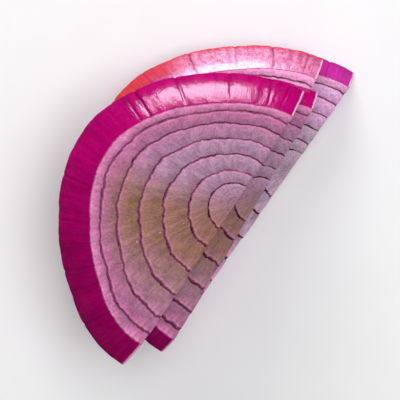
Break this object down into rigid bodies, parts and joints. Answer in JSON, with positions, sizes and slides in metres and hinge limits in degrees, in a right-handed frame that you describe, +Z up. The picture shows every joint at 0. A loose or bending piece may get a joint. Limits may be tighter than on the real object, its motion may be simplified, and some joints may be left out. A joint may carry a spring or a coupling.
{
  "type": "red onion half in slices",
  "caption": "Half a red onion cut into thick half-moon slices that lie in a fanned pile, each slice a nest of separate curved scales round a small heart.",
  "frame": {"origin": "middle of the pile's footprint, on the surface that it lies on", "axes": "+X along the straight cut, +Y towards the round side, +Z up"},
  "size_m": [0.0942, 0.0518, 0.0309],
  "materials": {
    "skin_scale": "wet, glossy magenta-purple skin side with pale pink flesh where it is cut",
    "flesh_scale": "moist cut flesh, pale lilac-pink with fine grain and a thin magenta skin on its outer side",
    "heart": "moist pale pink cut flesh"
  },
  "bodies": {
    "root": {"top_slice_scale_1": "skin_scale", "top_slice_scale_2": "flesh_scale", "top_slice_scale_3": "flesh_scale", "top_slice_scale_4": "flesh_scale", "top_slice_scale_5": "flesh_scale", "top_slice_scale_6": "flesh_scale", "top_slice_heart": "heart", "upper_slice_scale_1": "skin_scale", "upper_slice_scale_2": "flesh_scale", "upper_slice_scale_3": "flesh_scale", "upper_slice_scale_4": "flesh_scale", "upper_slice_scale_5": "flesh_scale", "upper_slice_scale_6": "flesh_scale", "upper_slice_heart": "heart", "lower_slice_scale_1": "skin_scale", "lower_slice_scale_2": "flesh_scale", "lower_slice_scale_3": "flesh_scale", "lower_slice_scale_4": "flesh_scale", "lower_slice_scale_5": "flesh_scale", "lower_slice_scale_6": "flesh_scale", "lower_slice_heart": "heart", "bottom_slice_scale_1": "skin_scale", "bottom_slice_scale_2": "flesh_scale", "bottom_slice_scale_3": "flesh_scale", "bottom_slice_scale_4": "flesh_scale", "bottom_slice_scale_5": "flesh_scale", "bottom_slice_scale_6": "flesh_scale", "bottom_slice_heart": "heart"}
  },
  "joints": []
}
